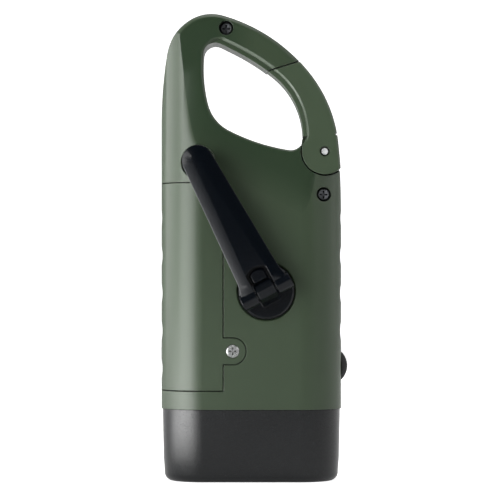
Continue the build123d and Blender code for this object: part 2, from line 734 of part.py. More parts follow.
def idler_two():
    """Second step-up gear, which drives the generator."""
    return compound_gear(
        IDLER_TWO, LAYER_TWO_Y, LAYER_THREE_Y, WHEEL_TWO_TEETH, IDLER_TWO_BEARING, ROTOR_BEARING
    )


def gear_axles():
    """Fixed steel axles of the two step-up gears."""
    first = rod(IDLER_ONE, AXLE_R, BACK_Y + 1.0, PLATE_Y[1])
    second = rod(IDLER_TWO, AXLE_R, BACK_Y + 1.0, PLATE_Y[1])
    second += rod(IDLER_TWO, 1.0, DRIVE_Y - 0.1, LAYER_TWO_Y - PINION_EXTRA - 0.1)
    return Compound([first, second])


def gear_plate():
    """Plate that carries the axles and the generator."""
    plan = Pos(8.2, 62.0) * RectangleRounded(31.0, 40.0, 3.0)
    plan -= Pos(-1.2, 64.5) * SlotOverall(16.0, 5.0, rotation=90)
    plan -= Pos(19.0, 68.5) * Circle(2.2)
    for place in POSTS:
        plan -= Pos(*place) * Circle(0.95)
    for place in (IDLER_ONE, IDLER_TWO):
        plan -= Pos(*place) * Circle(AXLE_R)
    plan -= Pos(*ROTOR) * Circle(AXLE_BORE_R)
    return across(plan, *PLATE_Y)


def gear_plate_screws():
    """Four small screws that hold the gear plate on its posts."""
    screws = []
    for place in POSTS:
        screw = rod(place, 1.7, PLATE_Y[1], PLATE_Y[1] + 0.9)
        screws.append(screw + rod(place, 0.8, PLATE_Y[0] - 3.8, PLATE_Y[1]))
    return Compound(screws)


# ---- Generator ----


def stator_can():
    """Steel cup of the generator, closed in front but for the shaft's bearing."""
    can = rod(ROTOR, CAN_R, PLATE_Y[1], CAN_FRONT_Y)
    can -= rod(ROTOR, CAN_R - CAN_WALL, PLATE_Y[1], CAN_FRONT_Y - CAN_WALL)
    return can - rod(ROTOR, AXLE_BORE_R, -DEPTH, DEPTH)


def coil_bobbin():
    """Plastic spool of the generator's winding."""
    outer = CAN_R - CAN_WALL - 0.1
    low, high = PLATE_Y[1], CAN_FRONT_Y - CAN_WALL - 0.1
    spool = rod(ROTOR, outer, low, high)
    spool -= rod(ROTOR, outer + 1, low + 0.8, high - 0.8) - rod(ROTOR, 7.0, low, high)
    return spool - rod(ROTOR, 6.3, -DEPTH, DEPTH)


def coil_winding():
    """Copper winding on the spool."""
    low, high = PLATE_Y[1] + 0.8, CAN_FRONT_Y - CAN_WALL - 0.9
    return rod(ROTOR, 8.9, low, high) - rod(ROTOR, 7.0, -DEPTH, DEPTH)


def rotor_shaft():
    """Steel shaft of the generator."""
    return rod(ROTOR, AXLE_R, LAYER_THREE_Y - PINION_EXTRA, CAN_FRONT_Y)


def rotor_pinion():
    """Small pinion pressed on the generator's shaft."""
    profile = gear_profile(ROTOR_TEETH, ROTOR_BEARING + 180 + 180 / ROTOR_TEETH)
    profile -= Circle(AXLE_R)
    return across(Pos(*ROTOR) * profile, LAYER_THREE_Y - PINION_EXTRA, LAYER_THREE_Y + GEAR_THICK + 0.2)


def rotor_magnet():
    """Ring magnet on the generator's shaft."""
    magnet = rod(ROTOR, MAGNET_R, PLATE_Y[1] + 0.6, CAN_FRONT_Y - CAN_WALL - 0.6)
    return magnet - rod(ROTOR, AXLE_R, -DEPTH, DEPTH)


# ---- Cell, boards, switch and button ----


def rechargeable_cell():
    """Rechargeable cell of AA size, with its button end up."""
    low, high = CELL_Z
    body = Pos(CELL_X, CELL_Y, low) * Cylinder(CELL_R, high - low - 1, align=ON_BASE)
    body = chamfer(body.edges().filter_by(GeomType.CIRCLE), 0.6)
    return body + Pos(CELL_X, CELL_Y, high - 1) * Cylinder(2.6, 1.0, align=ON_BASE)


def cell_plate_contact():
    """Flat sprung contact at the cell's button end."""
    y_span = (CELL_Y - 4.5, CELL_Y + 4.5)
    plate = block((CELL_X - 5, CELL_X + 5), y_span, (CELL_Z[1], CELL_Z[1] + 0.5))
    leaf = block((CELL_X + 3, CELL_X + 5), y_span, (CELL_Z[1], CAVITY_TOP))
    return plate + leaf


def cell_spring_contact():
    """Coil spring contact at the cell's flat end."""
    base = block((CELL_X - 5, CELL_X + 5), (CELL_Y - 5, CELL_Y + 5), (END_WALL_Z[1], END_WALL_Z[1] + 0.5))
    height = CELL_Z[0] - END_WALL_Z[1] - 0.5
    coil = Cone(4.2, 3.0, height, align=ON_BASE) - Cone(3.4, 2.2, height, align=ON_BASE)
    return base + Pos(CELL_X, CELL_Y, END_WALL_Z[1] + 0.5) * coil


def main_board():
    """Circuit board behind the generator, on four standoffs."""
    plan = Pos(7.2, 55.5) * RectangleRounded(29.6, 50.0, 1.5)
    for place in BOARD_STANDS:
        plan -= Pos(*place) * Circle(0.95)
    return across(plan, *BOARD_Y)


def board_screws():
    """Four small screws of the main board."""
    screws = []
    for place in BOARD_STANDS:
        screw = rod(place, 1.6, BOARD_Y[0] - 0.9, BOARD_Y[0])
        screws.append(screw + rod(place, 0.8, BOARD_Y[0], BOARD_Y[1] + 4))
    return Compound(screws)


def storage_capacitor():
    """Electrolytic capacitor that smooths the generator's current."""
    can = rod((2.0, 71.5), 4.0, BOARD_Y[0] - 8.0, BOARD_Y[0])
    return chamfer(can.edges().group_by(Axis.Y)[0], 0.4)


def rectifier_diodes():
    """Bridge of four diodes on the main board."""
    diodes = []
    for column in range(2):
        for row in range(2):
            x = 13.0 + 5.0 * column
            z = 66.5 + 4.0 * row
            diodes.append(block((x - 2.1, x + 2.1), (BOARD_Y[0] - 1.2, BOARD_Y[0]), (z - 1.3, z + 1.3)))
    return Compound(diodes)


def control_chip():
    """Chip that switches the lamps."""
    return block((1.5, 6.5), (BOARD_Y[0] - 1.4, BOARD_Y[0]), (34.5, 38.5))


def tact_switch():
    """Right-angle switch behind the power button."""
    body = block((17.5, 21.2), (-3.2, BOARD_Y[0]), (BUTTON_Z - 3, BUTTON_Z + 3))
    plunger = Plane.YZ * Pos(0, BUTTON_Z) * Circle(1.7)
    return body + Pos(21.2, 0, 0) * extrude(plunger, 0.6)


def power_button():
    """Domed rubber-like button with a flange that keeps it in the wall."""
    outer_x = WIDTH / 2 + BUTTON_PROUD
    inner_x = WIDTH / 2 - WALL - 0.2
    flange_x = inner_x - BUTTON_FLANGE_THICK
    dome_r = (BUTTON_R**2 + BUTTON_DOME**2) / (2 * BUTTON_DOME)
    halfway = math.asin(BUTTON_R / dome_r) / 2
    crown = (outer_x - dome_r * (1 - math.cos(halfway)), dome_r * math.sin(halfway))
    dome = ThreePointArc((outer_x - BUTTON_DOME, BUTTON_R), crown, (outer_x, 0))
    steps = Polyline(
        (outer_x, 0),
        (BUTTON_STEM_X, 0),
        (BUTTON_STEM_X, BUTTON_STEM_R),
        (flange_x, BUTTON_STEM_R),
        (flange_x, BUTTON_FLANGE_R),
        (inner_x, BUTTON_FLANGE_R),
        (inner_x, BUTTON_R),
        (outer_x - BUTTON_DOME, BUTTON_R),
    )
    return Pos(0, 0, BUTTON_Z) * revolve(make_face(Curve([dome]) + steps), Axis.X)


# ---- Lamp ----


def rounded(size, z):
    """A rounded rectangle of a given width, depth and corner, at a height."""
    return Pos(0, 0, z) * RectangleRounded(*size)


def bezel():
    """Black lamp housing, with its rim, bore and neck into the shells."""
    outside = loft([rounded(size, z) for z, size in BEZEL_SECTIONS], ruled=True)
    outside = fillet(outside.edges().group_by(Axis.Z)[0], BEZEL_EDGE_R)
    gap = 0.1
    outside += upright(oval(WALL + gap), BEZEL_TOP, BEZEL_TOP + 4)
    outside -= upright(RectangleRounded(*LENS_OPENING), -1, BEZEL_TOP)
    return outside - upright(RectangleRounded(*BEZEL_BORE), LENS_Z[0], FAR)


def lens():
    """Clear plastic lens behind the rim."""
    return upright(RectangleRounded(*LENS_OUTLINE), *LENS_Z)


def lens_gasket():
    """Soft ring between the lens and the reflector."""
    outer = RectangleRounded(*LENS_OUTLINE)
    inner = RectangleRounded(*LENS_OPENING)
    return upright(outer - inner, LENS_Z[1], GASKET_TOP)


def cup_profile(offset):
    """Half section of a reflector cup in straight facets, drawn out by an offset."""
    low = GASKET_TOP
    height = REFLECTOR_TOP - low
    points = [(radius + offset, low + share * height) for share, radius in CUP_STEPS]
    outline_points = points + [(0, REFLECTOR_TOP), (0, low), points[0]]
    return make_face(Polyline(*outline_points))


def reflector():
    """Three bright cups in one plate."""
    plate = upright(RectangleRounded(*LENS_OUTLINE), GASKET_TOP, GASKET_TOP + 1.2)
    body = plate
    for column in (-1, 0, 1):
        cup = revolve(Plane.XZ * cup_profile(0.8), Axis.Z)
        body += Pos(column * CUP_PITCH, 0, 0) * cup
    for column in (-1, 0, 1):
        hollow = revolve(Plane.XZ * cup_profile(0.0), Axis.Z)
        body -= Pos(column * CUP_PITCH, 0, 0) * hollow
    return body


def lamp_leds():
    """Three lamps with domed ends, in the necks of the cups."""
    lamps = []
    for column in (-1, 0, 1):
        dome = Sphere(LED_R) + Cylinder(LED_R, LED_BOARD_Z[0] - 12.5, align=ON_BASE)
        lamps.append(Pos(column * CUP_PITCH, 0, 12.5) * dome)
    return Compound(lamps)


def led_board():
    """Board that carries the three lamps."""
    return upright(RectangleRounded(*LENS_OUTLINE), *LED_BOARD_Z)


def save(name, shape):
    """Write one sub-part to its own STEP file."""
    export_step(shape, os.path.join("parts", name + ".step"))


def build_all():
    """Every sub-part, by name."""
    body = whole_body()
    return {
        "rear_shell": rear_shell(body),
        "front_shell": front_shell(body),
        "battery_cover": battery_cover(body),
        "battery_cover_screw": cover_screw(),
        "housing_screws": housing_screws(),
        "carabiner_gate": carabiner_gate(),
        "gate_pin": gate_pin(),
        "gate_spring": gate_spring(),
        "crank_hub": crank_hub(),
        "hinge_pin": hinge_pin(),
        "crank_arm": crank_arm(),
        "crank_knob": crank_knob(),
        "knob_screw": knob_screw(),
        "hub_screw": hub_screw(),
        "drive_gear": drive_gear(),
        "idler_one": idler_one(),
        "idler_two": idler_two(),
        "gear_axles": gear_axles(),
        "gear_plate": gear_plate(),
        "gear_plate_screws": gear_plate_screws(),
        "stator_can": stator_can(),
        "coil_bobbin": coil_bobbin(),
        "coil_winding": coil_winding(),
        "rotor_shaft": rotor_shaft(),
        "rotor_pinion": rotor_pinion(),
        "rotor_magnet": rotor_magnet(),
        "rechargeable_cell": rechargeable_cell(),
        "cell_plate_contact": cell_plate_contact(),
        "cell_spring_contact": cell_spring_contact(),
        "main_board": main_board(),
        "board_screws": board_screws(),
        "storage_capacitor": storage_capacitor(),
        "rectifier_diodes": rectifier_diodes(),
        "control_chip": control_chip(),
        "tact_switch": tact_switch(),
        "power_button": power_button(),
        "bezel": bezel(),
        "lens": lens(),
        "lens_gasket": lens_gasket(),
        "reflector": reflector(),
        "lamp_leds": lamp_leds(),
        "led_board": led_board(),
    }


os.makedirs("parts", exist_ok=True)
for part_name, part_shape in build_all().items():
    save(part_name, part_shape)
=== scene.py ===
"""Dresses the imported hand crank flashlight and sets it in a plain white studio."""

import logging
import math
from dataclasses import dataclass
from enum import Enum
from typing import Iterable, Sequence

import bmesh
import bpy
from mathutils import Matrix, Vector

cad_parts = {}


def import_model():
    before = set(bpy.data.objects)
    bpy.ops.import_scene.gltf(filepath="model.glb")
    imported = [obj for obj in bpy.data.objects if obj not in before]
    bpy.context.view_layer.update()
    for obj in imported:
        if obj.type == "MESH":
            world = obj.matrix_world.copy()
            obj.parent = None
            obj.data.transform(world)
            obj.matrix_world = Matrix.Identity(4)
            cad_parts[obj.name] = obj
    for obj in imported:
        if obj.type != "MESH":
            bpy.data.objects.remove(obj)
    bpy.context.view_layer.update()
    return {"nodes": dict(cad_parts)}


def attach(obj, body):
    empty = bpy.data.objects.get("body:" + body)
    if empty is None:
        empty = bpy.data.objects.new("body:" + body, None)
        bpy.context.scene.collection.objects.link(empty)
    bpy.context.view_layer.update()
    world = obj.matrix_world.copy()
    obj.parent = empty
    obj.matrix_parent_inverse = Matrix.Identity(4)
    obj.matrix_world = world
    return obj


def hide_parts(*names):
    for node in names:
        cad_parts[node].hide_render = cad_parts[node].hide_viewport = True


MM = 0.001
LOG = logging.getLogger("flashlight")

Colour = tuple[float, float, float]

NOISE_SPAN = (0.3, 0.7)  # most of a noise lies between these
# Colour that the painted shade in narrow gaps and recesses goes towards
PAINTED_SHADE: Colour = (0.002, 0.002, 0.002)
GAP_SAMPLES = 8
EDGE_SAMPLES = 4
WAVE_RADIANS = 20  # what a wave texture of scale 1 turns through in a unit of length
SHARP_DEGREES = 40


def srgb(red: int, green: int, blue: int) -> Colour:
    """Turns a screen colour into the linear colour that shaders use.

    Args:
        red: Red from 0 to 255.
        green: Green from 0 to 255.
        blue: Blue from 0 to 255.

    Returns:
        The same colour in linear light.
    """

    def linear(level: int) -> float:
        """One channel in linear light."""
        share = level / 255
        return share / 12.92 if share <= 0.04045 else ((share + 0.055) / 1.055) ** 2.4

    return linear(red), linear(green), linear(blue)


def shade(colour: Colour, share: float) -> Colour:
    """A colour made darker, or lighter where the share is above 1."""
    return tuple(level * share for level in colour)


class Slot(Enum):
    """The material slots of the record."""

    GREEN_PLASTIC = "green_plastic"
    BLACK_PLASTIC = "black_plastic"
    BLACK_RUBBER = "black_rubber"
    BRIGHT_STEEL = "bright_steel"
    DARK_STEEL = "dark_steel"
    SPRING_STEEL = "spring_steel"
    GEAR_PLASTIC = "gear_plastic"
    INNER_PLASTIC = "inner_plastic"
    COPPER = "copper"
    BRASS = "brass"
    MAGNET = "magnet"
    CELL_SLEEVE = "cell_sleeve"
    CIRCUIT_BOARD = "circuit_board"
    CLEAR_PLASTIC = "clear_plastic"
    BRIGHT_REFLECTOR = "bright_reflector"
    LAMP_RESIN = "lamp_resin"


# ---- Finishes ----


class NodeWriter:
    """Writes the node tree of one material, from coordinates to surface."""

    def __init__(self, name: str) -> None:
        """Starts an empty material.

        Args:
            name: Name of the material.
        """
        self.material = bpy.data.materials.new(name)
        self.material.use_nodes = True
        self.tree = self.material.node_tree
        self.tree.nodes.clear()
        self.output = self.tree.nodes.new("ShaderNodeOutputMaterial")
        self.shader = self.tree.nodes.new("ShaderNodeBsdfPrincipled")
        self.tree.links.new(self.shader.outputs["BSDF"], self.output.inputs["Surface"])
        self.place = self.tree.nodes.new("ShaderNodeTexCoord").outputs["Object"]

    def add(self, kind: str, **settings: object) -> bpy.types.Node:
        """Adds a node.

        Args:
            kind: Blender's type of the node.
            settings: Properties of the node, by name.

        Returns:
            The new node.
        """
        node = self.tree.nodes.new(kind)
        for key, value in settings.items():
            setattr(node, key, value)
        return node

    def link(self, start: bpy.types.NodeSocket, end: bpy.types.NodeSocket) -> None:
        """Joins an output to an input."""
        self.tree.links.new(start, end)

    def set(self, **sockets: object) -> None:
        """Sets plain values on the surface shader, with spaces written as underscores."""
        for key, value in sockets.items():
            self.shader.inputs[key.replace("_", " ")].default_value = value

    def noise(self, grain_mm: float, detail: float = 3.0) -> bpy.types.NodeSocket:
        """A soft noise on object coordinates.

        Args:
            grain_mm: Size of its grain in millimetres.
            detail: Octaves of finer grain in it.

        Returns:
            The noise, from 0 to 1.
        """
        node = self.add("ShaderNodeTexNoise")
        node.inputs["Scale"].default_value = 1 / (grain_mm * MM)
        node.inputs["Detail"].default_value = detail
        self.link(self.place, node.inputs["Vector"])
        return node.outputs["Fac"]

    def spread(
        self, value: bpy.types.NodeSocket, low: float, high: float
    ) -> bpy.types.NodeSocket:
        """Maps the middle of a noise to a span of values.

        Args:
            value: The noise.
            low: Value in its dark places.
            high: Value in its bright places.

        Returns:
            The mapped value.
        """
        node = self.add("ShaderNodeMapRange")
        node.inputs["From Min"].default_value = NOISE_SPAN[0]
        node.inputs["From Max"].default_value = NOISE_SPAN[1]
        node.inputs["To Min"].default_value = low
        node.inputs["To Max"].default_value = high
        self.link(value, node.inputs["Value"])
        return node.outputs["Result"]

    def blend(
        self,
        share: bpy.types.NodeSocket,
        first: Colour | bpy.types.NodeSocket,
        second: Colour | bpy.types.NodeSocket,
    ) -> bpy.types.NodeSocket:
        """Blends two colours.

        Args:
            share: Share of the second colour.
            first: Colour at 0.
            second: Colour at 1.

        Returns:
            The blended colour.
        """
        node = self.add("ShaderNodeMix", data_type="RGBA")
        self.link(share, node.inputs["Factor"])
        for letter, colour in (("A", first), ("B", second)):
            if isinstance(colour, tuple):
                node.inputs[letter].default_value = (*colour, 1)
            else:
                self.link(colour, node.inputs[letter])
        return node.outputs["Result"]

    def calculate(
        self, operation: str, *values: bpy.types.NodeSocket | float, clamped: bool = False
    ) -> bpy.types.NodeSocket:
        """Calculates with values of nodes and plain numbers.

        Args:
            operation: Blender's name of the operation.
            values: What it takes, in order.
            clamped: Whether the result is kept from 0 to 1.

        Returns:
            The result.
        """
        node = self.add("ShaderNodeMath", operation=operation, use_clamp=clamped)
        for socket, value in zip(node.inputs, values):
            if isinstance(value, float):
                socket.default_value = value
            else:
                self.link(value, socket)
        return node.outputs[0]

    def dot(
        self, vector: bpy.types.NodeSocket, direction: tuple[float, float, float]
    ) -> bpy.types.NodeSocket:
        """Length of a vector along a direction.

        Args:
            vector: The vector.
            direction: The direction.

        Returns:
            The length, in metres.
        """
        node = self.add("ShaderNodeVectorMath", operation="DOT_PRODUCT")
        self.link(vector, node.inputs[0])
        node.inputs[1].default_value = direction
        return node.outputs["Value"]

    def ramp(
        self, length: bpy.types.NodeSocket, zero_mm: float, one_mm: float
    ) -> bpy.types.NodeSocket:
        """Eases a length from 0 to 1.

        Args:
            length: The length, in metres.
            zero_mm: Length that gives 0, in millimetres.
            one_mm: Length that gives 1, in millimetres.

        Returns:
            The eased value.
        """
        node = self.add("ShaderNodeMapRange", interpolation_type="SMOOTHSTEP")
        node.inputs["From Min"].default_value = zero_mm * MM
        node.inputs["From Max"].default_value = one_mm * MM
        self.link(length, node.inputs["Value"])
        return node.outputs["Result"]

    def paint_shade(
        self, colour: bpy.types.NodeSocket, reach_mm: float, only_local: bool
    ) -> bpy.types.NodeSocket:
        """Paints shade into a colour in narrow gaps and recesses, where ambient occlusion finds
        walls close by.

        Args:
            colour: The clean colour.
            reach_mm: How near the walls of a gap are, in millimetres.
            only_local: Whether only the piece's own walls count.

        Returns:
            The colour with the painted shade.
        """
        openness = self.add(
            "ShaderNodeAmbientOcclusion", samples=GAP_SAMPLES, only_local=only_local
        )
        openness.inputs["Distance"].default_value = reach_mm * MM
        # Painted shade: the colour goes towards near black where walls are close
        return self.blend(self.spread(openness.outputs["AO"], 0, 1), PAINTED_SHADE, colour)

    def bump(
        self, height: bpy.types.NodeSocket, depth_mm: float, edge_mm: float = 0.0
    ) -> None:
        """Raises the surface by a height, over edges that are a little rounded.

        Args:
            height: Height from 0 to 1.
            depth_mm: Real height of the relief in millimetres.
            edge_mm: Radius that sharp edges are shaded with.
        """
        node = self.add("ShaderNodeBump")
        node.inputs["Distance"].default_value = depth_mm * MM
        self.link(height, node.inputs["Height"])
        if edge_mm:
            edge = self.add("ShaderNodeBevel", samples=EDGE_SAMPLES)
            edge.inputs["Radius"].default_value = edge_mm * MM
            self.link(edge.outputs["Normal"], node.inputs["Normal"])
        self.link(node.outputs["Normal"], self.shader.inputs["Normal"])


@dataclass(frozen=True)
class MouldedPlastic:
    """Opaque moulded plastic with a fine spark-eroded texture."""

    slot: Slot
    name: str
    colour: Colour
    roughness: float = 0.45
    grain_mm: float = 0.35
    relief_mm: float = 0.008
    edge_mm: float = 0.3
    cloud: float = 0.06
    gloss: float = 0.5
    # Reach of the painted shade in gaps, in millimetres; 0 paints none
    crevice_mm: float = 0.0
    cloud_mm: float = 9.0
    uneven: float = 0.05
    plate: "PaintedPlateShade | None" = None

    def material(self) -> bpy.types.Material:
        """Builds the material.

        Returns:
            The new material.
        """
        writer = NodeWriter(self.name)
        cloud = writer.noise(self.cloud_mm, detail=4.0)
        dark = shade(self.colour, 1 - self.cloud)
        bright = shade(self.colour, 1 + self.cloud)
        colour = writer.blend(writer.spread(cloud, 0, 1), dark, bright)
        grain = writer.noise(self.grain_mm, detail=2.0)
        writer.link(
            writer.spread(grain, self.roughness - self.uneven, self.roughness + self.uneven),
            writer.shader.inputs["Roughness"],
        )
        writer.set(Specular_IOR_Level=self.gloss)
        # Painted shade on the loop's sloping plate, where it tilts away from the light
        if self.plate:
            darker = tuple(level * part for level, part in zip(self.colour, self.plate.darken))
            colour = writer.blend(self.plate.share(writer), colour, darker)
        # Painted shade in narrow gaps, in recesses and under nearby pieces
        if self.crevice_mm:
            colour = writer.paint_shade(colour, self.crevice_mm, only_local=False)
        writer.link(colour, writer.shader.inputs["Base Color"])
        writer.bump(grain, self.relief_mm, self.edge_mm)
        return writer.material


@dataclass(frozen=True)
class WorkedMetal:
    """Bare or plated metal with fine marks of working in it."""

    slot: Slot
    name: str
    colour: Colour
    roughness: float = 0.3
    mark_mm: float = 0.2
    relief_mm: float = 0.004
    edge_mm: float = 0.06
    # Reach of the painted shade in gaps, in millimetres; 0 paints none
    crevice_mm: float = 0.0
    tarnish_mm: float = 2.5
    dulled: float = 0.8
    uneven: float = 0.08

    def material(self) -> bpy.types.Material:
        """Builds the material.

        Returns:
            The new material.
        """
        writer = NodeWriter(self.name)
        tarnish = writer.spread(writer.noise(self.tarnish_mm), 0, 1)
        colour = writer.blend(tarnish, shade(self.colour, self.dulled), self.colour)
        # Painted shade in the piece's own narrow gaps and recesses, such as screw slots
        if self.crevice_mm:
            colour = writer.paint_shade(colour, self.crevice_mm, only_local=True)
        writer.link(colour, writer.shader.inputs["Base Color"])
        marks = writer.noise(self.mark_mm, detail=2.0)
        writer.link(
            writer.spread(marks, self.roughness - self.uneven, self.roughness + self.uneven),
            writer.shader.inputs["Roughness"],
        )
        writer.set(Metallic=1.0)
        writer.bump(marks, self.relief_mm, self.edge_mm)
        return writer.material


@dataclass(frozen=True)
class ClearPlastic:
    """See-through moulded plastic."""

    slot: Slot
    name: str
    colour: Colour
    roughness: float = 0.06
    haze_mm: float = 1.5
    haze: tuple[float, float] = (0.6, 1.5)
    relief_mm: float = 0.002
    refraction: float = 1.49

    def material(self) -> bpy.types.Material:
        """Builds the material.

        Returns:
            The new material.
        """
        writer = NodeWriter(self.name)
        haze = writer.noise(self.haze_mm)
        least, most = (self.roughness * share for share in self.haze)
        writer.link(writer.spread(haze, least, most), writer.shader.inputs["Roughness"])
        writer.set(Base_Color=(*self.colour, 1), Transmission_Weight=1.0, IOR=self.refraction)
        writer.bump(haze, self.relief_mm)
        return writer.material


@dataclass(frozen=True)
class WoundWire:
    """Enamelled copper wire, wound in fine even turns along Y."""

    slot: Slot
    name: str
    colour: Colour
    wire_mm: float = 0.25
    groove_shade: float = 0.4
    relief_mm: float = 0.08
    roughness: float = 0.3
    metallic: float = 0.8
    enamel: float = 0.5

    def material(self) -> bpy.types.Material:
        """Builds the material.

        Returns:
            The new material.
        """
        writer = NodeWriter(self.name)
        turns = writer.add(
            "ShaderNodeTexWave", wave_type="BANDS", bands_direction="Y", wave_profile="SIN"
        )
        scale = 1 / (self.wire_mm * MM) / WAVE_RADIANS * math.tau
        turns.inputs["Scale"].default_value = scale
        writer.link(writer.place, turns.inputs["Vector"])
        height = turns.outputs["Fac"]
        # Painted shade in the grooves between the turns
        colour = writer.blend(height, shade(self.colour, self.groove_shade), self.colour)
        writer.link(colour, writer.shader.inputs["Base Color"])
        writer.set(Metallic=self.metallic, Roughness=self.roughness, Coat_Weight=self.enamel)
        writer.bump(height, self.relief_mm)
        return writer.material


@dataclass(frozen=True)
class PaintedPlateShade:
    """Where painted shade darkens the rear shell: the loop's sloping plate, up from its crease.

    The plate is the same moulding as the rest. Its darker tone is painted shade, fitted to a
    photograph: the shade of the plate's tilt away from the light is put into its colour.

    Attributes:
        crease: A point on the crease, in millimetres.
        uphill: Direction up the plate, in X and Z.
        slope: How much the plate sinks for each length uphill.
        reach_mm: Distance from the plate's plane that still counts as the plate.
        fade_mm: Length over which the tone comes in, up from the crease.
        darken: Share of red, green and blue that is left.
        nose_x: Where the loop's end begins and ends along X, which isn't darkened.
        nose_z: The same along Z.
    """

    crease: tuple[float, float, float] = (11.6, -16.0, 84.2)
    uphill: tuple[float, float] = (0.49, 0.87)
    slope: float = math.tan(math.radians(4.5))
    reach_mm: float = 0.12
    fade_mm: float = 9.0
    darken: tuple[float, float, float] = (0.5, 0.62, 0.53)
    nose_x: tuple[float, float] = (-10.0, 3.0)
    nose_z: tuple[float, float] = (114.0, 122.0)

    def share(self, writer: NodeWriter) -> bpy.types.NodeSocket:
        """How much of the darker tone a point has.

        Args:
            writer: Writer of the material that has the plate.

        Returns:
            The share, from 0 to 1.
        """
        offset = writer.add("ShaderNodeVectorMath", operation="SUBTRACT")
        writer.link(writer.place, offset.inputs[0])
        offset.inputs[1].default_value = [length * MM for length in self.crease]
        x, z = self.uphill
        depth = writer.dot(offset.outputs[0], (-self.slope * x, 1, -self.slope * z))
        climb = writer.dot(offset.outputs[0], (x, 0, z))
        sunk = writer.calculate("ABSOLUTE", depth)
        near = writer.ramp(sunk, self.reach_mm, self.reach_mm / 2)
        risen = writer.ramp(climb, -self.fade_mm / 2, self.fade_mm)
        plate = writer.calculate("MULTIPLY", near, risen)
        beside = writer.ramp(writer.dot(writer.place, (1, 0, 0)), *self.nose_x)
        above = writer.ramp(writer.dot(writer.place, (0, 0, 1)), *self.nose_z)
        nose = writer.calculate("MULTIPLY", beside, above)
        return writer.calculate("SUBTRACT", plate, nose, clamped=True)


class Finish(Enum):
    """Every finish on the flashlight."""

    SHELL = MouldedPlastic(
        Slot.GREEN_PLASTIC,
        "olive_satin_shell",
        srgb(56, 70, 51),
        roughness=0.34,
        cloud=0.03,
        crevice_mm=0.6,
        plate=PaintedPlateShade(),
    )
    GREEN = MouldedPlastic(
        Slot.GREEN_PLASTIC,
        "olive_satin",
        srgb(56, 70, 51),
        roughness=0.34,
        cloud=0.03,
        crevice_mm=0.6,
    )
    # Painted light: a lighter copy of the shell's green, standing in for the light on the gate
    GATE_GREEN_PAINTED_LIGHT = MouldedPlastic(
        Slot.GREEN_PLASTIC,
        "olive_satin_gate",
        srgb(64, 78, 59),
        roughness=0.36,
        cloud=0.03,
        crevice_mm=0.6,
    )
    BEZEL = MouldedPlastic(
        Slot.BLACK_PLASTIC,
        "bezel_black",
        srgb(6, 9, 12),
        roughness=0.24,
        cloud=0.04,
        relief_mm=0.01,
        gloss=0.45,
    )
    CRANK = MouldedPlastic(
        Slot.BLACK_PLASTIC,
        "crank_black",
        srgb(4, 8, 14),
        roughness=0.21,
        cloud=0.04,
        gloss=0.28,
    )
    RUBBER = MouldedPlastic(
        Slot.BLACK_RUBBER, "black_rubber", srgb(12, 13, 14), roughness=0.6, gloss=0.3
    )
    BRIGHT_STEEL = WorkedMetal(
        Slot.BRIGHT_STEEL, "plated_steel", srgb(205, 207, 206), roughness=0.25, crevice_mm=0.6
    )
    # Painted highlight in part: steel lighter than the plated steel, for the gleam on the gate pin
    PIN_STEEL_PAINTED_LIGHT = WorkedMetal(Slot.BRIGHT_STEEL, "gate_pin_steel", srgb(236, 238, 238), roughness=0.5)
    # Painted shade: bright steel darkened, so that the hinge pin reads as the shaded gap between
    # lug and forks
    HINGE_STEEL_PAINTED_SHADE = WorkedMetal(Slot.BRIGHT_STEEL, "hinge_pin_steel", srgb(84, 86, 88), roughness=0.4)
    SCREW_STEEL = WorkedMetal(
        Slot.DARK_STEEL, "screw_steel", srgb(128, 130, 134), roughness=0.5, crevice_mm=0.7
    )
    SPRING_STEEL = WorkedMetal(
        Slot.SPRING_STEEL, "spring_steel", srgb(150, 152, 154), roughness=0.3
    )
    ACETAL = MouldedPlastic(
        Slot.GEAR_PLASTIC, "acetal_white", srgb(216, 214, 204), roughness=0.35
    )
    INNER_GREY = MouldedPlastic(
        Slot.INNER_PLASTIC, "inner_grey", srgb(60, 62, 64), roughness=0.5
    )
    COPPER = WoundWire(Slot.COPPER, "wound_copper", srgb(176, 94, 48))
    BRASS = WorkedMetal(Slot.BRASS, "brass", srgb(190, 158, 92), roughness=0.3)
    FERRITE = WorkedMetal(Slot.MAGNET, "ferrite", srgb(70, 70, 74), roughness=0.55)
    PACKAGE = MouldedPlastic(Slot.MAGNET, "package_black", srgb(22, 22, 24), roughness=0.5)
    CELL = MouldedPlastic(Slot.CELL_SLEEVE, "cell_sleeve", srgb(46, 110, 74), roughness=0.3)
    BOARD = MouldedPlastic(
        Slot.CIRCUIT_BOARD, "board_laminate", srgb(24, 78, 48), roughness=0.4
    )
    SOLDER = WorkedMetal(Slot.BRIGHT_STEEL, "solder", srgb(188, 190, 192), roughness=0.2)
    CLEAR = ClearPlastic(Slot.CLEAR_PLASTIC, "clear_acrylic", (0.94, 0.96, 0.95))
    REFLECTOR = WorkedMetal(
        Slot.BRIGHT_REFLECTOR,
        "vacuum_metal",
        srgb(226, 228, 230),
        roughness=0.12,
        relief_mm=0.001,
    )
    RESIN = ClearPlastic(Slot.LAMP_RESIN, "lamp_resin", (0.92, 0.93, 0.88))
    PHOSPHOR = MouldedPlastic(
        Slot.LAMP_RESIN, "lamp_phosphor", srgb(226, 204, 84), roughness=0.6, edge_mm=0.05
    )


class PaintShop:
    """Makes each finish once and puts it on pieces."""

    def __init__(self) -> None:
        """Starts with no finish made."""
        self.made: dict[str, bpy.types.Material] = {}

    def paint(self, piece: bpy.types.Object, finish: Finish) -> None:
        """Gives a piece a finish.

        Args:
            piece: The object to paint.
            finish: The finish.
        """
        if finish.name not in self.made:
            self.made[finish.name] = finish.value.material()
        piece.data.materials.clear()
        piece.data.materials.append(self.made[finish.name])


# ---- Sub-assemblies ----


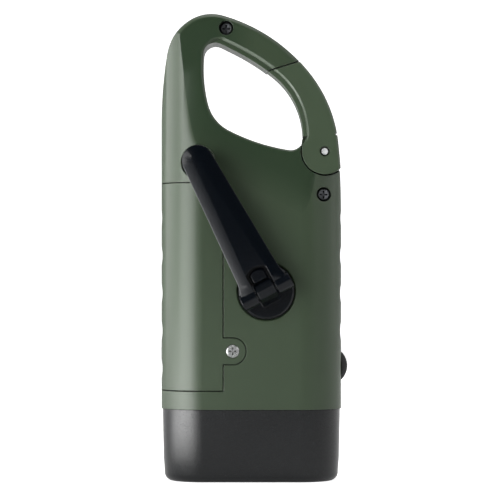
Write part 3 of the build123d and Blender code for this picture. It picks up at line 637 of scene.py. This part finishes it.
class ClosedSmoothing:
    """Geometry nodes that close a CAD mesh and keep only its real edges sharp."""

    def __init__(self, merge_mm: float = 0.0005, sharp_degrees: float = 28.0) -> None:
        """Writes the node group.

        Args:
            merge_mm: Distance up to which vertices are one.
            sharp_degrees: Angle above which an edge stays sharp.
        """
        self.group = bpy.data.node_groups.new("closed_smoothing", "GeometryNodeTree")
        for way in ("INPUT", "OUTPUT"):
            self.group.interface.new_socket(
                "Geometry", in_out=way, socket_type="NodeSocketGeometry"
            )
        nodes = self.group.nodes
        merge = nodes.new("GeometryNodeMergeByDistance")
        merge.inputs["Distance"].default_value = merge_mm * MM
        angle = nodes.new("GeometryNodeInputMeshEdgeAngle")
        sharp = nodes.new("FunctionNodeCompare")
        sharp.data_type, sharp.operation = "FLOAT", "GREATER_THAN"
        sharp.inputs["B"].default_value = math.radians(sharp_degrees)
        faces = nodes.new("GeometryNodeSetShadeSmooth")
        faces.inputs["Shade Smooth"].default_value = True
        edges = nodes.new("GeometryNodeSetShadeSmooth")
        edges.domain = "EDGE"
        edges.inputs["Shade Smooth"].default_value = False
        chain = [nodes.new("NodeGroupInput"), merge, faces, edges, nodes.new("NodeGroupOutput")]
        for before, after in zip(chain, chain[1:]):
            self.group.links.new(before.outputs[0], after.inputs[0])
        self.group.links.new(angle.outputs["Unsigned Angle"], sharp.inputs["A"])
        self.group.links.new(sharp.outputs["Result"], edges.inputs["Selection"])


@dataclass(frozen=True)
class WireCoil:
    """A coil of round wire round its own upright axis, in millimetres."""

    wire_r: float
    coil_r: float
    height: float
    turns: float
    top_coil_r: float
    sides: int = 10
    steps_per_turn: int = 32

    def wind(self) -> bmesh.types.BMesh:
        """Winds the wire from the foot at height 0 up to the top.

        Returns:
            The closed mesh of the wire.
        """
        wire = bmesh.new()
        bmesh.ops.create_circle(wire, cap_ends=False, segments=self.sides, radius=self.wire_r)
        bmesh.ops.rotate(wire, verts=wire.verts, matrix=Matrix.Rotation(math.pi / 2, 3, "X"))
        bmesh.ops.translate(wire, verts=wire.verts, vec=(self.coil_r, 0, self.wire_r))
        steps = round(self.turns * self.steps_per_turn)
        climb = self.height - 2 * self.wire_r
        bmesh.ops.spin(
            wire,
            geom=wire.verts[:] + wire.edges[:],
            axis=(0, 0, 1),
            dvec=(0, 0, climb / steps),
            angle=math.tau * self.turns,
            steps=steps,
            use_merge=False,
            use_duplicate=False,
        )
        for vertex in wire.verts:
            share = min(max((vertex.co.z - self.wire_r) / climb, 0), 1)
            reach = math.hypot(vertex.co.x, vertex.co.y)
            drawn_in = 1 - (self.coil_r - self.top_coil_r) * share / reach
            vertex.co.x *= drawn_in
            vertex.co.y *= drawn_in
        bmesh.ops.holes_fill(wire, edges=[edge for edge in wire.edges if edge.is_boundary], sides=0)
        return wire


@dataclass
class SubAssembly:
    """Some of the flashlight's pieces: CAD pieces that it dresses, and pieces that it adds."""

    paint_shop: PaintShop
    nodes: dict[str, bpy.types.Object]
    smoothing: ClosedSmoothing

    FLAT_DEGREES = 0.5
    EDGE_SEGMENTS = 3

    def finishes(self) -> dict[str, Finish]:
        """Finish of each CAD piece that stays."""
        raise NotImplementedError

    def eased_edges(self) -> dict[str, float]:
        """Width in millimetres of the bevel on each CAD piece that gets one."""
        return {}

    def add_pieces(self) -> None:
        """Builds the new pieces. Most sub-assemblies have none."""

    def build(self) -> None:
        """Dresses the CAD pieces, then adds the new ones."""
        for name, finish in self.finishes().items():
            self.smooth(self.nodes[name])
            self.paint_shop.paint(self.nodes[name], finish)
            LOG.info("dressed %s in %s", name, finish.name.lower())
        self.add_pieces()

    def smooth(self, piece: bpy.types.Object) -> None:
        """Joins a CAD piece's loose triangles and shades its round faces smooth.

        Args:
            piece: The CAD piece.
        """
        rounding = piece.modifiers.new("closed_smoothing", "NODES")
        rounding.node_group = self.smoothing.group
        width = self.eased_edges().get(piece.name)
        if width is None:
            weighted = piece.modifiers.new("flat_faces_first", "WEIGHTED_NORMAL")
            weighted.keep_sharp = True
            return
        flats = piece.modifiers.new("whole_flats", "DECIMATE")
        flats.decimate_type = "DISSOLVE"
        flats.angle_limit = math.radians(self.FLAT_DEGREES)
        edges = piece.modifiers.new("eased_edges", "BEVEL")
        edges.width = width * MM
        edges.segments = self.EDGE_SEGMENTS
        edges.limit_method = "ANGLE"
        edges.angle_limit = math.radians(SHARP_DEGREES)
        edges.use_clamp_overlap = True
        edges.harden_normals = True

    def add(
        self,
        name: str,
        shape: bmesh.types.BMesh,
        body: str,
        finish: Finish,
        replaced: Sequence[str] = (),
    ) -> bpy.types.Object:
        """Makes a new piece from a mesh in millimetres and dresses it.

        Args:
            name: Name of the piece.
            shape: Its mesh, in the shared frame. It is freed here.
            body: CAD body that it rides on.
            finish: Its finish.
            replaced: CAD nodes that it stands for.

        Returns:
            The new object.
        """
        bmesh.ops.recalc_face_normals(shape, faces=shape.faces)
        bmesh.ops.scale(shape, verts=shape.verts, vec=(MM, MM, MM))
        mesh = bpy.data.meshes.new(name)
        shape.to_mesh(mesh)
        shape.free()
        mesh.shade_smooth()
        mesh.set_sharp_from_angle(angle=math.radians(SHARP_DEGREES))
        piece = bpy.data.objects.new(name, mesh)
        bpy.context.scene.collection.objects.link(piece)
        self.paint_shop.paint(piece, finish)
        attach(piece, body)
        if replaced:
            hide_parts(*replaced)
        LOG.info("built %s in %s: %d faces", name, finish.name.lower(), len(mesh.polygons))
        return piece


def bevelled_block(
    shape: bmesh.types.BMesh, size: Sequence[float], middle: Sequence[float], bevel: float
) -> None:
    """Adds a block with rounded edges to a mesh.

    Args:
        shape: The mesh.
        size: Its lengths along X, Y and Z.
        middle: Its middle.
        bevel: Radius of its edges.
    """
    verts = bmesh.ops.create_cube(shape, size=1)["verts"]
    bmesh.ops.scale(shape, verts=verts, vec=size)
    bmesh.ops.translate(shape, verts=verts, vec=middle)
    edges = list({edge for vertex in verts for edge in vertex.link_edges})
    bmesh.ops.bevel(
        shape,
        geom=edges,
        offset=bevel,
        offset_type="OFFSET",
        segments=2,
        profile=0.5,
        affect="EDGES",
        material=-1,
    )


@dataclass
class Housing(SubAssembly):
    """The green shells, the battery cover and their screws."""

    def finishes(self) -> dict[str, Finish]:
        """Finish of each CAD piece that stays."""
        return {
            "rear_shell": Finish.SHELL,
            "front_shell": Finish.GREEN,
            "battery_cover": Finish.GREEN,
            "battery_cover_screw": Finish.BRIGHT_STEEL,
            "housing_screws": Finish.SCREW_STEEL,
        }


@dataclass
class CarabinerGate(SubAssembly):
    """The gate, its pin and its torsion spring."""

    pin: tuple[float, float] = (22.1, 99.7)
    spring_back_y: float = -0.9
    spring: WireCoil = WireCoil(0.3, 2.15, 2.5, 3.0, 2.15)

    def finishes(self) -> dict[str, Finish]:
        """Finish of each CAD piece that stays."""
        return {"carabiner_gate": Finish.GATE_GREEN_PAINTED_LIGHT, "gate_pin": Finish.PIN_STEEL_PAINTED_LIGHT}

    def add_pieces(self) -> None:
        """Winds the torsion spring round the pin."""
        coil = self.spring.wind()
        bmesh.ops.rotate(coil, verts=coil.verts, matrix=Matrix.Rotation(math.pi / 2, 3, "X"))
        place = (self.pin[0], self.spring_back_y, self.pin[1])
        bmesh.ops.translate(coil, verts=coil.verts, vec=place)
        self.add("gate_torsion_spring", coil, "housing", Finish.SPRING_STEEL, ["gate_spring"])


@dataclass
class Crank(SubAssembly):
    """The hub disc, the folding arm and the knob in its underside."""

    arm_edge: float = 0.5

    def finishes(self) -> dict[str, Finish]:
        """Finish of each CAD piece that stays."""
        return {
            "crank_hub": Finish.CRANK,
            "hinge_pin": Finish.HINGE_STEEL_PAINTED_SHADE,
            "crank_arm": Finish.CRANK,
            "crank_knob": Finish.CRANK,
            "knob_screw": Finish.SCREW_STEEL,
            "hub_screw": Finish.SCREW_STEEL,
        }

    def eased_edges(self) -> dict[str, float]:
        """Width in millimetres of the bevel on the arm."""
        return {"crank_arm": self.arm_edge}


@dataclass
class GearTrain(SubAssembly):
    """The step-up gears behind the crank, their axles and their plate."""

    def finishes(self) -> dict[str, Finish]:
        """Finish of each CAD piece that stays."""
        return {
            "drive_gear": Finish.ACETAL,
            "idler_one": Finish.ACETAL,
            "idler_two": Finish.ACETAL,
            "gear_axles": Finish.BRIGHT_STEEL,
            "gear_plate": Finish.INNER_GREY,
            "gear_plate_screws": Finish.SCREW_STEEL,
        }


@dataclass
class Generator(SubAssembly):
    """The steel cup, the winding and the rotor."""

    def finishes(self) -> dict[str, Finish]:
        """Finish of each CAD piece that stays."""
        return {
            "stator_can": Finish.SPRING_STEEL,
            "coil_bobbin": Finish.INNER_GREY,
            "coil_winding": Finish.COPPER,
            "rotor_shaft": Finish.BRIGHT_STEEL,
            "rotor_pinion": Finish.BRASS,
            "rotor_magnet": Finish.FERRITE,
        }


@dataclass
class Electrics(SubAssembly):
    """The cell with its contacts, the main board with its parts, and the button."""

    cell: tuple[float, float] = (-17.2, -5.0)
    spring_foot_z: float = 29.1
    spring: WireCoil = WireCoil(0.35, 3.8, 4.4, 4.0, 2.7)
    contact_plate: tuple[float, float, float] = (10.0, 10.0, 0.5)
    plate_edge: float = 0.1
    joint_rows: tuple[float, ...] = (42.0, 45.0, 48.0, 51.0, 61.0)
    joint_columns: tuple[float, ...] = (-3.0, -0.5, 2.0, 14.0, 16.5, 19.0)
    joint_y: float = 5.6
    joint_size: tuple[float, float, float] = (0.7, 0.25, 0.6)

    def finishes(self) -> dict[str, Finish]:
        """Finish of each CAD piece that stays."""
        return {
            "rechargeable_cell": Finish.CELL,
            "cell_plate_contact": Finish.SPRING_STEEL,
            "main_board": Finish.BOARD,
            "board_screws": Finish.SCREW_STEEL,
            "storage_capacitor": Finish.CELL,
            "rectifier_diodes": Finish.PACKAGE,
            "control_chip": Finish.PACKAGE,
            "tact_switch": Finish.PACKAGE,
            "power_button": Finish.RUBBER,
        }

    def add_pieces(self) -> None:
        """Winds the cell's spring on its plate and solders the board."""
        contact = self.spring.wind()
        bmesh.ops.translate(
            contact, verts=contact.verts, vec=(*self.cell, self.spring_foot_z)
        )
        middle = (*self.cell, self.spring_foot_z - self.contact_plate[2] / 2)
        bevelled_block(contact, self.contact_plate, middle, self.plate_edge)
        self.add(
            "cell_coil_contact", contact, "housing", Finish.SPRING_STEEL, ["cell_spring_contact"]
        )
        self.add("solder_joints", self.solder(), "housing", Finish.SOLDER)

    def solder(self) -> bmesh.types.BMesh:
        """Solder cones in rows on the free side of the main board.

        Returns:
            The mesh of all the cones.
        """
        joints = bmesh.new()
        foot_r, tip_r, height = self.joint_size
        for z in self.joint_rows:
            for x in self.joint_columns:
                cone = bmesh.ops.create_cone(
                    joints, cap_ends=True, segments=12, radius1=foot_r, radius2=tip_r, depth=height
                )["verts"]
                bmesh.ops.rotate(joints, verts=cone, matrix=Matrix.Rotation(-math.pi / 2, 3, "X"))
                bmesh.ops.translate(joints, verts=cone, vec=(x, self.joint_y + height / 2, z))
        return joints


@dataclass
class Lamp(SubAssembly):
    """The black bezel, the lens, and the three lamps in their reflector."""

    pitch: float = 16.0
    chip_z: float = 13.2
    chip_size: tuple[float, float, float] = (1.3, 1.3, 0.3)
    chip_edge: float = 0.05
    dish_size: tuple[float, float, float] = (1.5, 1.1, 0.7)

    def finishes(self) -> dict[str, Finish]:
        """Finish of each CAD piece that stays."""
        return {
            "bezel": Finish.BEZEL,
            "lens": Finish.CLEAR,
            "lens_gasket": Finish.RUBBER,
            "reflector": Finish.REFLECTOR,
            "lamp_leds": Finish.RESIN,
            "led_board": Finish.BOARD,
        }

    def add_pieces(self) -> None:
        """Puts a dish and a yellow chip in each lamp."""
        dishes, chips = bmesh.new(), bmesh.new()
        low_r, high_r, height = self.dish_size
        for column in (-1, 0, 1):
            dish = bmesh.ops.create_cone(
                dishes, cap_ends=True, segments=32, radius1=low_r, radius2=high_r, depth=height
            )["verts"]
            middle = (column * self.pitch, 0, self.chip_z + height / 2)
            bmesh.ops.translate(dishes, verts=dish, vec=middle)
            place = (column * self.pitch, 0, self.chip_z - self.chip_size[2] / 2)
            bevelled_block(chips, self.chip_size, place, self.chip_edge)
        self.add("lamp_dishes", dishes, "housing", Finish.REFLECTOR)
        self.add("lamp_chips", chips, "housing", Finish.PHOSPHOR)


@dataclass(frozen=True)
class AreaLamp:
    """A soft rectangular lamp that points at the middle of the object.

    Attributes:
        name: Name of the lamp.
        place: Where it stands, in millimetres.
        size: Its width and height in millimetres.
        watts: Its power.
        mirrored: Whether glossy surfaces show it.
    """

    name: str
    place: tuple[float, float, float]
    size: tuple[float, float]
    watts: float
    mirrored: bool = True


@dataclass
class Studio:
    """White studio: floor, backdrop, lamps and the camera. Lengths in millimetres.

    Reflections don't show it as the camera does. They see a dimmer floor, backdrop and
    room, and a patch of floor that is far brighter than white.

    Attributes:
        fill: Strength of the world for the light on surfaces.
        wrap: Where, from front to back, the world's reflection goes from dark to white.
        room_dark: Strength of the world behind the camera, in reflections.
        mirrored_share: Share of the paper's own white that reflections see.
        floor_lift: Share of the floor's white that shadows don't darken.
        backdrop_lift: The same for the backdrop.
        pool_place: Middle of the bright patch.
        pool_mm: Radius of the bright patch. It is at full level in its inner third.
        pool_level: Strength of the bright patch. 1 is white, and 0 takes the patch away.
    """

    floor_half: float = 3000
    backdrop_y: float = 1600
    camera_from_face: float = 750
    face_y: float = -16
    eye_level: float = 60
    frame_width: float = 150
    frame_centre: tuple[float, float] = (-0.4, 70.0)
    sensor: float = 36
    fill: float = 0.15
    room_dark: float = 0.04
    mirrored_share: float = 0.2
    pool_place: tuple[float, float, float] = (-240, -150, 0)
    pool_mm: float = 230
    pool_level: float = 15.0
    wrap: tuple[float, float] = (-0.45, 0.25)
    floor_lift: float = 0.85
    backdrop_lift: float = 1.0
    paper_tone: tuple[float, float] = (0.78, 0.8)
    fibre_mm: float = 3.0
    lamps: tuple[AreaLamp, ...] = (
        AreaLamp("key_box", (-615, -555, 230), (640, 460), 5.7),
        AreaLamp("side_box", (-780, 150, 240), (760, 480), 3.4),
        AreaLamp("right_fill", (640, -330, 460), (700, 600), 2.0),
        AreaLamp("back_box", (520, 760, 330), (800, 600), 5.0, mirrored=False),
        AreaLamp("top_fill", (60, -100, 950), (600, 600), 2.5),
    )

    def build(self) -> None:
        """Sets up the whole studio."""
        self.camera()
        self.world()
        self.floor()
        self.backdrop()
        for lamp in self.lamps:
            self.hang(lamp)
        bpy.context.scene.view_settings.view_transform = "Standard"

    def camera(self) -> None:
        """Level camera in front of the crank side, shifted up to centre the object."""
        data = bpy.data.cameras.new("camera")
        data.sensor_width = self.sensor
        data.lens = self.sensor * self.camera_from_face / self.frame_width
        data.shift_y = (self.frame_centre[1] - self.eye_level) / self.frame_width
        camera = bpy.data.objects.new("camera", data)
        distance = self.face_y - self.camera_from_face
        camera.location = Vector((self.frame_centre[0], distance, self.eye_level)) * MM
        camera.rotation_euler = (math.pi / 2, 0, 0)
        bpy.context.scene.collection.objects.link(camera)
        bpy.context.scene.camera = camera

    def world(self) -> None:
        """White to the camera, from dark to white in reflections, and a dim fill for the rest."""
        world = bpy.data.worlds.new("studio")
        bpy.context.scene.world = world
        world.use_nodes = True
        tree = world.node_tree
        tree.nodes.clear()
        output = tree.nodes.new("ShaderNodeOutputWorld")
        place = tree.nodes.new("ShaderNodeTexCoord")
        parts = tree.nodes.new("ShaderNodeSeparateXYZ")
        tree.links.new(place.outputs["Generated"], parts.inputs[0])
        wrap = tree.nodes.new("ShaderNodeMapRange")
        wrap.interpolation_type = "SMOOTHSTEP"
        for name, value in (
            ("From Min", self.wrap[0]),
            ("From Max", self.wrap[1]),
            ("To Min", self.room_dark),
            ("To Max", 1.0),
        ):
            wrap.inputs[name].default_value = value
        tree.links.new(parts.outputs["Y"], wrap.inputs["Value"])
        room = tree.nodes.new("ShaderNodeBackground")
        tree.links.new(wrap.outputs[0], room.inputs["Strength"])
        fill = tree.nodes.new("ShaderNodeBackground")
        fill.inputs["Strength"].default_value = self.fill
        white = tree.nodes.new("ShaderNodeBackground")
        path = tree.nodes.new("ShaderNodeLightPath")
        either = tree.nodes.new("ShaderNodeMath")
        either.operation = "MAXIMUM"
        tree.links.new(path.outputs["Is Camera Ray"], either.inputs[0])
        tree.links.new(path.outputs["Is Transmission Ray"], either.inputs[1])
        for background in (room, fill, white):
            background.inputs["Color"].default_value = (1, 1, 1, 1)
        glossy = tree.nodes.new("ShaderNodeMixShader")
        tree.links.new(path.outputs["Is Glossy Ray"], glossy.inputs["Fac"])
        tree.links.new(fill.outputs[0], glossy.inputs[1])
        tree.links.new(room.outputs[0], glossy.inputs[2])
        mix = tree.nodes.new("ShaderNodeMixShader")
        tree.links.new(either.outputs[0], mix.inputs["Fac"])
        tree.links.new(glossy.outputs[0], mix.inputs[1])
        tree.links.new(white.outputs[0], mix.inputs[2])
        tree.links.new(mix.outputs[0], output.inputs["Surface"])

    def add_pool(
        self, writer: NodeWriter, glossy: bpy.types.NodeSocket, base: bpy.types.NodeSocket
    ) -> bpy.types.NodeSocket:
        """Adds a bright round patch that only reflections see, and that no lamp casts.

        Args:
            writer: Writer of the floor's material.
            glossy: Whether a ray is a reflection.
            base: The floor's own strength.

        Returns:
            The strength with the patch.
        """
        away = writer.add("ShaderNodeVectorMath", operation="DISTANCE")
        writer.link(writer.place, away.inputs[0])
        away.inputs[1].default_value = [length * MM for length in self.pool_place]
        glow = writer.ramp(away.outputs["Value"], self.pool_mm, self.pool_mm / 3)
        share = writer.calculate("MULTIPLY", glow, glossy)
        return writer.calculate("MULTIPLY_ADD", share, self.pool_level, base)

    def paper(self, name: str, lift: float, pool: bool = False) -> bpy.types.Material:
        """White paper that shows its white to the camera, and a share of it in reflections.

        Args:
            name: Name of the material.
            lift: Share of its white that shadows don't darken.
            pool: Whether it has the bright patch that only reflections see.

        Returns:
            The new material.
        """
        writer = NodeWriter(name)
        fibre = writer.spread(writer.noise(self.fibre_mm), *self.paper_tone)
        pale = writer.add("ShaderNodeCombineColor")
        for channel in ("Red", "Green", "Blue"):
            writer.link(fibre, pale.inputs[channel])
        writer.link(pale.outputs["Color"], writer.shader.inputs["Base Color"])
        writer.set(Roughness=0.9, Specular_IOR_Level=0.0)
        rays = writer.add("ShaderNodeLightPath").outputs
        glossy = rays["Is Glossy Ray"]
        seen = writer.calculate("MAXIMUM", rays["Is Camera Ray"], rays["Is Transmission Ray"])
        mirrored = writer.calculate("MULTIPLY", glossy, self.mirrored_share)
        shown = writer.calculate("MAXIMUM", seen, mirrored)
        strength = writer.calculate("MULTIPLY", shown, lift)
        if pool:
            strength = self.add_pool(writer, glossy, strength)
        glow = writer.add("ShaderNodeEmission")
        writer.link(strength, glow.inputs["Strength"])
        both = writer.add("ShaderNodeAddShader")
        writer.link(writer.shader.outputs[0], both.inputs[0])
        writer.link(glow.outputs[0], both.inputs[1])
        writer.link(both.outputs[0], writer.output.inputs["Surface"])
        return writer.material

    def sheet(
        self, name: str, corners: Sequence[Vector], lift: float, pool: bool = False
    ) -> None:
        """A flat sheet of studio paper.

        Args:
            name: Name of the sheet.
            corners: Its four corners, in millimetres.
            lift: Share of its white that shadows don't darken.
            pool: Whether it has the bright patch that only reflections see.
        """
        mesh = bpy.data.meshes.new(name)
        mesh.from_pydata([corner * MM for corner in corners], [], [(0, 1, 2, 3)])
        sheet = bpy.data.objects.new(name, mesh)
        sheet.data.materials.append(self.paper(name, lift, pool))
        bpy.context.scene.collection.objects.link(sheet)

    def floor(self) -> None:
        """Floor under the lamp rim."""
        half = self.floor_half
        corners = [Vector((x * half, y * half, 0)) for x, y in ((-1, -1), (1, -1), (1, 1), (-1, 1))]
        self.sheet("studio_floor", corners, self.floor_lift, pool=True)

    def backdrop(self) -> None:
        """Upright sheet behind the object, past the camera of the views from behind."""
        half = self.floor_half
        y = self.backdrop_y
        corners = [Vector((x * half, y, z * half)) for x, z in ((-1, 0), (1, 0), (1, 1), (-1, 1))]
        self.sheet("studio_backdrop", corners, self.backdrop_lift)

    def hang(self, lamp: AreaLamp) -> None:
        """Puts a lamp in the scene.

        Args:
            lamp: The lamp.
        """
        data = bpy.data.lights.new(lamp.name, "AREA")
        data.shape = "RECTANGLE"
        data.size, data.size_y = (length * MM for length in lamp.size)
        data.energy = lamp.watts
        light = bpy.data.objects.new(lamp.name, data)
        light.location = Vector(lamp.place) * MM
        light.visible_glossy = lamp.mirrored
        aim = Vector((0, 0, self.frame_centre[1])) * MM - light.location
        light.rotation_euler = aim.to_track_quat("-Z", "Y").to_euler()
        bpy.context.scene.collection.objects.link(light)


def corners(bounds: Iterable[Vector]) -> list[list[float]]:
    """Two corners as plain lists of numbers."""
    return [list(corner) for corner in bounds]


def main() -> None:
    """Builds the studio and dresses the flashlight."""
    logging.basicConfig(level=logging.INFO, format="%(name)s: %(message)s")
    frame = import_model()
    Studio().build()
    paint_shop = PaintShop()
    smoothing = ClosedSmoothing()
    for kind in (Housing, CarabinerGate, Crank, GearTrain, Generator, Electrics, Lamp):
        LOG.info("sub-assembly %s", kind.__name__)
        kind(paint_shop, frame["nodes"], smoothing).build()


if __name__ == "__main__":
    main()
